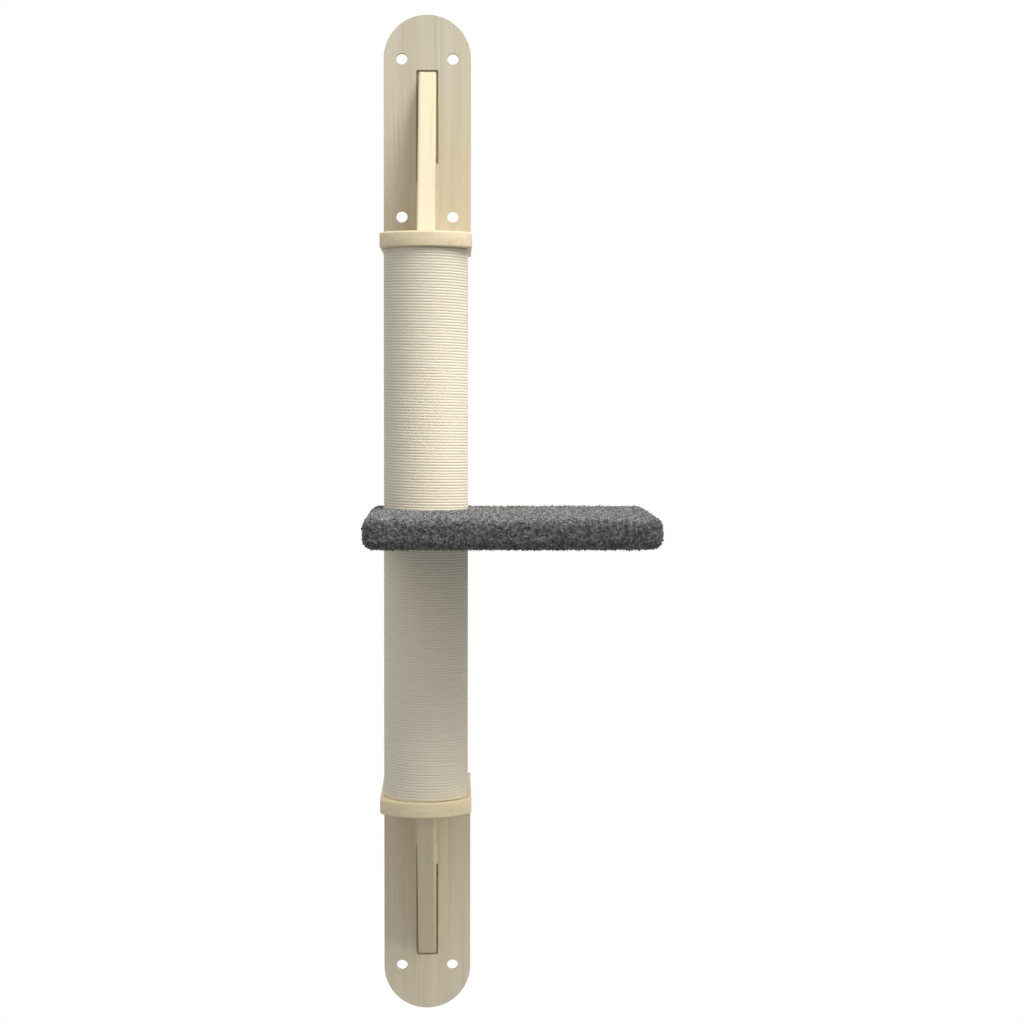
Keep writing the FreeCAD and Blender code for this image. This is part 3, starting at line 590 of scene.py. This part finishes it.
# along a tuft: the share of its length, and its thickness there
TUFT_ROWS = ((0.0, 0.8), (0.45, 1.0), (0.85, 0.75))
TUFTS = {
    "plush_nubs": {
        "count": 15000, "sides": 4,
        "width": (0.5 * MM, 0.9 * MM), "length": (1.8 * MM, 3.4 * MM), "stand": (0.5, 1.0),
    },
    "plush_fuzz": {
        "count": 20000, "sides": 3,
        "width": (0.15 * MM, 0.3 * MM), "length": (2.0 * MM, 3.6 * MM), "stand": (0.4, 0.9),
    },
}

QUAD_FORWARD = ((0, 0), (1, 0), (1, 1), (0, 1))
QUAD_BACKWARD = ((0, 0), (0, 1), (1, 1), (1, 0))
# the sides of a block: the axis that they lie across, the two axes along them, and the way round their quads
# at that axis's low and high end
BLOCK_SIDES = (
    (2, (0, 1), (QUAD_BACKWARD, QUAD_FORWARD)),
    (1, (0, 2), (QUAD_FORWARD, QUAD_BACKWARD)),
    (0, (1, 2), (QUAD_BACKWARD, QUAD_FORWARD)),
)


def block_surface(low, high, step):
    """The points and quads of a block's surface, in an even grid of about a step."""
    size = high - low
    counts = [max(4, int(round(s / step))) for s in size]
    index, points, faces = {}, [], []
    for axis, (first, second), ways in BLOCK_SIDES:
        for i in range(counts[first]):
            for j in range(counts[second]):
                for end, way in zip((0, counts[axis]), ways):
                    quad = []
                    for di, dj in way:
                        key = [end, end, end]
                        key[first], key[second] = i + di, j + dj
                        if tuple(key) not in index:
                            index[tuple(key)] = len(points)
                            points.append([low[a] + size[a] * n / counts[a] for a, n in enumerate(key)])
                        quad.append(index[tuple(key)])
                    faces.append(tuple(quad))
    return np.array(points), faces


def rounded_block(name, low, high, step, edge):
    """A closed block with round edges, as one even mesh."""
    points, faces = block_surface(low, high, step)
    held = np.clip(points, low + edge, high - edge)
    out = points - held
    # points near an edge slide round it, evenly in angle
    largest = np.abs(out).max(1, keepdims=True)
    share = np.where(largest > 0, out / np.maximum(largest, 1e-12), 0)
    direction = np.tan(share * math.pi / 4)
    direction /= np.maximum(np.linalg.norm(direction, axis=1, keepdims=True), 1e-12)
    return new_object(name, held + direction * edge, faces)


def pile_relief(points, normals):
    """How far the pile stands out at each point: clumps, higher on top, with finer and slower waves."""
    clump_height = CLUMP_HEIGHT + CLUMP_HIGHER_ON_TOP * np.clip(normals[:, 2], 0, 1)
    relief = np.zeros(len(points))
    for i, point in enumerate(points):
        spot = Vector(point)
        nearest, second = noise.voronoi(spot / CLUMP_WIDTH)[0][:2]
        clump = min(1.0, second - nearest) - CLUMP_LEVEL
        fine, slow = noise.noise(spot / FINE_WAVE), noise.noise(spot / SLOW_WAVE)
        relief[i] = clump_height[i] * clump + FINE_HEIGHT * fine + SLOW_HEIGHT * slow
    return relief


def plush_platform():
    """The plush cover: tufted pile, pressed down where the posts bear on it, with a lap seam underneath."""
    low = np.array(PLATFORM_LOW) + (PLUSH_INSET, PLUSH_INSET, -PLUSH_FULLER_BELOW)
    high = np.array(PLATFORM_HIGH) + (-PLUSH_INSET, -PLUSH_INSET, PLUSH_FULLER_ABOVE)
    piece = rounded_block("plush_platform", low, high, PLUSH_STEP, EDGE_ROUND)
    points, normals = points_and_normals(piece.data)
    away = distance_from_axis(points)
    press = np.clip((POST_RADIUS + PRESS_REACH - away) / PRESS_EDGE, 0, 1)
    press *= np.abs(normals[:, 2]) > PRESS_FACING
    press = press * press * (3 - 2 * press)
    moved = points + normals * (pile_relief(points, normals) * (1 - press))[:, None]
    on_top = points[:, 2] > PLATFORM_MIDDLE
    pressed_to = np.where(on_top, UPPER_POST_END - PRESS_GAP, LOWER_POST_END + PRESS_GAP)
    moved[:, 2] += (pressed_to - points[:, 2]) * press
    seam = np.exp(-((points[:, 1] - SEAM_Y) / SEAM_HALF) ** 2) * (normals[:, 2] < -SEAM_FACING)
    seam *= np.clip((away - POST_RADIUS) / SEAM_END, 0, 1)
    moved[:, 2] += (STAPLES_LOW.z + SEAM_OVER_STAPLES - moved[:, 2]) * seam
    piece.data.vertices.foreach_set("co", moved.ravel())
    piece.data.update()
    return piece


def tufts(name, cover, count, sides, width, length, stand, seed):
    """Short curled tufts that stand out of the plush all round, except at the posts and along the seam.

    Width and length are pairs of limits, and stand says how far the tufts stand up instead of lying down.
    """
    rng = np.random.default_rng(seed)
    points, normals = points_and_normals(cover.data)
    on_seam = (np.abs(points[:, 1] - SEAM_Y) < SEAM_HALF) & (normals[:, 2] < -BARE_FACING)
    off_posts = distance_from_axis(points) > POST_RADIUS + TUFT_CLEAR_OF_POST
    chosen = rng.choice(np.nonzero(off_posts & ~on_seam)[0], count, replace=False)
    roots, out = points[chosen], normals[chosen]
    sideways = np.cross(out, rng.normal(0, 1, (count, 3)))
    sideways /= np.linalg.norm(sideways, axis=1, keepdims=True)
    across = np.cross(out, sideways)
    reach = rng.uniform(*length, count)[:, None]
    lean = out * rng.uniform(*stand, count)[:, None] + sideways * TUFT_SIDEWAYS
    bend = across * rng.normal(0, TUFT_CURL, count)[:, None] - out * TUFT_DROOP
    thick = rng.uniform(*width, count)[:, None]
    start = roots - out * TUFT_ROOT_DEPTH
    corners = []
    for share, size in TUFT_ROWS:
        middle = start + lean * reach * share + bend * reach * share ** 2
        for j in range(sides):
            turn = FULL_TURN * j / sides
            round_it = sideways * math.cos(turn) * TUFT_FLATNESS + across * math.sin(turn)
            corners.append(middle + round_it * thick * size)
    corners.append(start + (lean + bend) * reach)
    tip = len(corners) - 1
    last = tip - sides
    around = [(last + j, last + (j + 1) % sides) for j in range(sides)]
    form = tube_faces(len(TUFT_ROWS), sides) + [(a, b, tip) for a, b in around] + [tuple(range(sides))[::-1]]
    base = np.arange(count)[:, None] * len(corners)
    faces = [row for face in form for row in (base + np.array(face)).tolist()]
    return new_object(name, np.stack(corners, 1).reshape(-1, 3).tolist(), faces)


platform = keep(plush_platform(), PLUSH, "grey_plush", "plush_cover")
for seed, (name, form) in enumerate(TUFTS.items(), start=SEED):
    keep(tufts(name, platform, seed=seed, **form), PILE, "grey_plush", "plush_cover")


# ---------------------------------------------------------------- screws

WOOD_HEAD, WOOD_SHANK = 4.06 * MM, 2.0 * MM
POST_HEAD, POST_SHANK = 5.06 * MM, 2.5 * MM
HEAD_SIDES = 32
HEAD_RIM = 0.25 * MM
SCREW_POINT = 0.1 * MM
# the cross recess, in shares of the head's radius, and its floor and tip in shares of its mouth and its depth
CROSS_ARM, CROSS_HALF_ARM, CROSS_DEPTH = 0.58, 0.16, 0.4
CROSS_FLOOR, CROSS_TIP = 0.62, 1.2
CROSS_CORNERS = 12


def cross_outline(head):
    """The corners of the cross recess in a head of that radius, three in each quarter."""
    arm, half_arm = head * CROSS_ARM, head * CROSS_HALF_ARM
    corners = []
    for quarter in range(4):
        c, s = math.cos(quarter * math.pi / 2), math.sin(quarter * math.pi / 2)
        for x, y in ((arm, -half_arm), (arm, half_arm), (half_arm, half_arm)):
            corners.append((x * c - y * s, x * s + y * c))
    return corners


def screw_form(head, shank, length):
    """The points and faces of a countersunk screw with a cross recess, from its face at Z = 0 along +Z."""
    depth = head * CROSS_DEPTH
    profile = (
        (head, 0.0),
        (head, HEAD_RIM),
        (shank, head - shank),
        (shank, length - 2 * shank),
        (SCREW_POINT, length),
    )
    angles = [FULL_TURN * i / HEAD_SIDES for i in range(HEAD_SIDES)]
    cross = cross_outline(head)
    points = [(r * math.cos(a), r * math.sin(a), z) for r, z in profile for a in angles]
    faces = tube_faces(len(profile), HEAD_SIDES)
    faces.append(tuple(range(len(points) - HEAD_SIDES, len(points))))
    mouth = len(points)
    floor = mouth + CROSS_CORNERS
    tip = floor + CROSS_CORNERS
    points += [(x, y, 0.0) for x, y in cross]
    points += [(x * CROSS_FLOOR, y * CROSS_FLOOR, depth) for x, y in cross]
    points.append((0, 0, depth * CROSS_TIP))
    for i in range(CROSS_CORNERS):
        j = (i + 1) % CROSS_CORNERS
        faces.append((mouth + i, mouth + j, floor + j, floor + i))
        faces.append((floor + i, floor + j, tip))
    # the flat ring between the head's rim and the cross: each rim side goes to its nearest cross corner
    nearest = []
    for x, y, _ in points[:HEAD_SIDES]:
        away = [(corner_x - x) ** 2 + (corner_y - y) ** 2 for corner_x, corner_y in cross]
        nearest.append(away.index(min(away)))
    for i in range(HEAD_SIDES):
        j = (i + 1) % HEAD_SIDES
        k = nearest[i]
        faces.append((i, j, mouth + k))
        while k != nearest[j]:
            following = (k + 1) % CROSS_CORNERS
            faces.append((j, mouth + following, mouth + k))
            k = following
    return points, faces


def screws(name, way, across, head, shank):
    """The detailed screws of a node with two screws, which go one way and lie apart along an axis index."""
    low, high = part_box(name)
    along = max(range(3), key=lambda i: abs(way[i]))
    points, form = screw_form(head, shank, high[along] - low[along])
    turn = Vector((0, 0, 1)).rotation_difference(Vector(way)).to_matrix()
    verts, faces = [], []
    for place in (low[across] + head, high[across] - head):
        at = (low + high) / 2
        at[across] = place
        at[along] = low[along] if way[along] > 0 else high[along]
        faces += [tuple(len(verts) + n for n in face) for face in form]
        verts += [at + turn @ Vector(point) for point in points]
    piece = new_object(f"{name}_detailed", verts, faces, smooth=False)
    face_outwards(piece)
    return keep(piece, STEEL, "screw_steel", name)


for side, up in (("upper", 1), ("lower", -1)):
    screws(f"{side}_shelf_screws", (0, -1, 0), 0, WOOD_HEAD, WOOD_SHANK)
    screws(f"{side}_gusset_back_screws", (0, -1, 0), 2, WOOD_HEAD, WOOD_SHANK)
    screws(f"{side}_gusset_foot_screws", (0, 0, up), 1, WOOD_HEAD, WOOD_SHANK)
    screws(f"{side}_post_screws", (0, 0, -up), 0, POST_HEAD, POST_SHANK)


# ---------------------------------------------------------------- floor and sky

FLOOR_HEIGHT = -2.0
FLOOR_HALF = 1.9
FLOOR_PLAIN = 0.7
FLOOR_WHITE = FLOOR_HALF * 0.95
FLOOR_TONES = (0.86, 0.86, 0.86), (0.9, 0.9, 0.9)
FLOOR_BOUNCE = (0.4, 0.4, 0.4)
SKY_BELOW, SKY_ABOVE = 0.25, 0.73
SKY_SLOPE = 0.6


def white_to_camera(graph, shader, light_kind, share=None):
    """Pure white where the camera, a glossy ray or a ray through glass looks, and the shader elsewhere.

    A share, where there is one, says how much of the white is shown.
    """
    path = graph.add("ShaderNodeLightPath").outputs
    seen = graph.math("MAXIMUM", path["Is Camera Ray"], path["Is Glossy Ray"])
    seen = graph.math("MAXIMUM", seen, path["Is Transmission Ray"])
    if share is not None:
        seen = graph.math("MULTIPLY", seen, share)
    white = graph.add(light_kind)
    white.inputs["Color"].default_value = (1, 1, 1, 1)
    white.inputs["Strength"].default_value = 1.0
    return graph.mix_shaders(seen, shader, white.outputs[0])


def floor_paint():
    """Matt paint, pale where it is looked at and darker in the light that it throws back on the object.

    Towards the floor's edges it goes over into the white background, and from below it is clear.
    """
    surface = Surface("floor_paint", roughness=0.85, specular=0.1)
    darker, lighter = FLOOR_TONES
    pale = surface.ramp(surface.noise(3.0, 2.0, 0.5), (0.0, darker), (1.0, lighter))
    looked_at = surface.add("ShaderNodeLightPath").outputs["Is Camera Ray"]
    surface.finish(surface.mix(looked_at, FLOOR_BOUNCE, pale))
    away = surface.add("ShaderNodeVectorMath", operation="LENGTH")
    surface.link(surface.mapped((1.0, 1.0, 0.0)), away.inputs[0])
    share = surface.spread(away.outputs["Value"], FLOOR_PLAIN, FLOOR_WHITE)
    paint = white_to_camera(surface, surface.shader.outputs[0], "ShaderNodeEmission", share)
    from_below = surface.add("ShaderNodeNewGeometry").outputs["Backfacing"]
    clear = surface.add("ShaderNodeBsdfTransparent").outputs[0]
    one_sided = surface.mix_shaders(from_below, paint, clear)
    surface.link(one_sided, surface.tree.nodes["Material Output"].inputs["Surface"])
    return surface.material


def lay_floor():
    """A pale square floor below the object, that belongs to the studio."""
    square = ((-1, -1), (1, -1), (1, 1), (-1, 1))
    corners = [(x * FLOOR_HALF, y * FLOOR_HALF, FLOOR_HEIGHT) for x, y in square]
    floor = new_object("floor", corners, [(0, 1, 2, 3)], smooth=False)
    floor.data.materials.append(floor_paint())


def sky():
    """An even pale world, brighter above than below, that the camera sees as white."""
    world = bpy.data.worlds.new("studio_world")
    bpy.context.scene.world = world
    world.use_nodes = True
    graph = Nodes(world.node_tree)
    soft = graph.tree.nodes["Background"]
    soft.inputs["Strength"].default_value = 1.0
    height = graph.parts(graph.add("ShaderNodeTexCoord").outputs["Generated"])["Z"]
    graph.link(graph.spread(height, -SKY_SLOPE, SKY_SLOPE, SKY_BELOW, SKY_ABOVE), soft.inputs["Color"])
    seen = white_to_camera(graph, soft.outputs[0], "ShaderNodeBackground")
    graph.link(seen, graph.tree.nodes["World Output"].inputs["Surface"])


# ---------------------------------------------------------------- lamps and camera

MIDDLE = Vector((0.0, AXIS_Y, PLATFORM_MIDDLE))
KEY_PLACE, KEY_SIZE, KEY_WATTS = (1.25, -1.2, 2.42), 1.6, 79.0
WASH_LOOKS = {"spot_blend": 1.0, "shadow_soft_size": 0.12, "color": (1.0, 0.91, 0.77)}
# each wash: its name, place, target, watts and cone in degrees
WASHES = (
    ("platform_wash", (0.5, -0.7, 0.4), MIDDLE, 20.0, 26),
    ("lower_wash", (0.95, -0.62, -0.38), (0.06, -0.08, -0.9), 12.0, 28),
)

CAMERA_PLACE = (0.0297, -2.3794, -0.2838)
CAMERA_TURN_RIGHT = math.radians(1.647)
CAMERA_TILT_DOWN = math.radians(2.661)
CAMERA_ROLL = math.radians(0.109)
CAMERA_LENS = 72.149
CAMERA_SENSOR = 36.0
CAMERA_SHIFT_Y = -0.03


def lamp(name, kind, place, target, watts, **looks):
    """A lamp at a place, facing a target, that the camera doesn't see."""
    data = bpy.data.lights.new(name, kind)
    data.energy = watts
    for setting, value in looks.items():
        setattr(data, setting, value)
    light = bpy.data.objects.new(name, data)
    bpy.context.scene.collection.objects.link(light)
    light.location = place
    light.rotation_euler = (Vector(target) - light.location).to_track_quat("-Z", "Y").to_euler()
    light.visible_camera = False


def lamps():
    """A large key light from the upper right front, and two weak warm spots with soft edges."""
    lamp("key_light", "AREA", KEY_PLACE, MIDDLE, KEY_WATTS, size=KEY_SIZE)
    for name, place, target, watts, cone in WASHES:
        lamp(name, "SPOT", place, target, watts, spot_size=math.radians(cone), **WASH_LOOKS)


def camera():
    """The camera at the photograph's viewing angle."""
    data = bpy.data.cameras.new("camera")
    data.lens = CAMERA_LENS
    data.sensor_width = CAMERA_SENSOR
    data.shift_y = CAMERA_SHIFT_Y
    view = bpy.data.objects.new("camera", data)
    bpy.context.scene.collection.objects.link(view)
    view.location = CAMERA_PLACE
    level = Euler((math.pi / 2 - CAMERA_TILT_DOWN, 0, -CAMERA_TURN_RIGHT), "XYZ")
    view.rotation_euler = (level.to_matrix() @ Matrix.Rotation(CAMERA_ROLL, 3, "Z")).to_euler()
    bpy.context.scene.camera = view


lay_floor()
sky()
lamps()
camera()
bpy.context.scene.view_settings.view_transform = "Standard"
